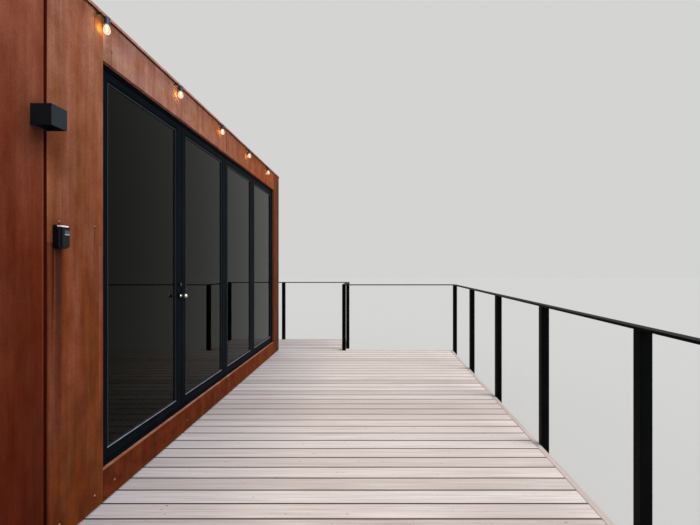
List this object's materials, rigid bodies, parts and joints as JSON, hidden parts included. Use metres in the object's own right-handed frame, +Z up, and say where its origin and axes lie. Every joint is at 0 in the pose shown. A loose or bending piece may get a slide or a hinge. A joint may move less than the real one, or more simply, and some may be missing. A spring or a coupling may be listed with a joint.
{
  "type": "shipping container cabin with deck",
  "caption": "Flat-roofed container cabin clad in weathering steel, with a folding glazed front, a hinged traffic leaf, a light string and a railed timber deck.",
  "frame": {"origin": "on the ground, at the middle of the whole footprint of cabin, deck and railing", "axes": "+Z up, X along the facade from the near solid end to the far end, the facade faces -Y"},
  "size_m": [7.3, 5.515, 3.275],
  "materials": {
    "concrete": "cast, matte",
    "deck_timber": "sawn, treated",
    "deck_boards": "weathered, brushed",
    "edge_boards": "weathered",
    "railing": "satin powder coat",
    "base_steel": "matte paint",
    "floor_boards": "oiled",
    "wall_core": "matte panel",
    "ceiling": "matte paint",
    "membrane": "matte",
    "weathering_steel": "rusted, matte",
    "door_aluminium": "satin anthracite powder coat",
    "glazing": "clear, coated",
    "handle_steel": "satin",
    "fitting_black": "satin powder coat",
    "lens": "frosted",
    "safe_plastic": "moulded",
    "clip_steel": "satin",
    "cable": "matte",
    "lamp_glass": "clear, lit warm"
  },
  "bodies": {
    "cabin": {"foundation_pads": "concrete", "deck_bearers": "deck_timber", "deck_joists": "deck_timber", "deck_boards": "deck_boards", "wing_boards": "deck_boards", "edge_boards": "edge_boards", "rail_posts": "railing", "top_rail": "railing", "base_frame": "base_steel", "floor_bearers": "base_steel", "floor": "floor_boards", "rear_wall": "wall_core", "near_end_wall": "wall_core", "far_end_wall": "wall_core", "front_wall_near": "wall_core", "front_wall_far": "wall_core", "lintel": "wall_core", "ceiling": "ceiling", "roof_panel": "wall_core", "parapet": "wall_core", "roof_membrane": "membrane", "roof_cap": "weathering_steel", "corner_trims": "weathering_steel", "front_panels": "weathering_steel", "fascia_panels": "weathering_steel", "sill_panels": "weathering_steel", "rear_cladding": "weathering_steel", "end_cladding": "weathering_steel", "door_frame": "door_aluminium", "folding_leaves": "door_aluminium", "folding_glass": "glazing", "frame_hinges": "door_aluminium", "wall_light": "fitting_black", "light_lens": "lens", "key_safe": "safe_plastic", "key_safe_cover": "safe_plastic", "cable_clips": "clip_steel", "light_cable": "cable", "lamp_sockets": "cable", "lamps": "lamp_glass"},
    "door_leaf": {"traffic_leaf": "door_aluminium", "traffic_glass": "glazing", "leaf_hinges": "door_aluminium", "handle_plates": "handle_steel"},
    "knob": {"door_knobs": "handle_steel"}
  },
  "joints": [
    {"name": "leaf_hinge", "type": "hinge", "parent": "cabin", "child": "door_leaf", "pos_m": [-1.9765, 0.2225, 1.78], "axis": [0, 0, -1], "range_deg": [0, 95]},
    {"name": "knob_turn", "type": "hinge", "parent": "door_leaf", "child": "knob", "pos_m": [-0.97225, 0.2355, 1.536], "axis": [0, -1, 0], "range_deg": [0, 60], "stiffness_Nm_per_rad": 1.5, "springref_deg": -17.19}
  ]
}
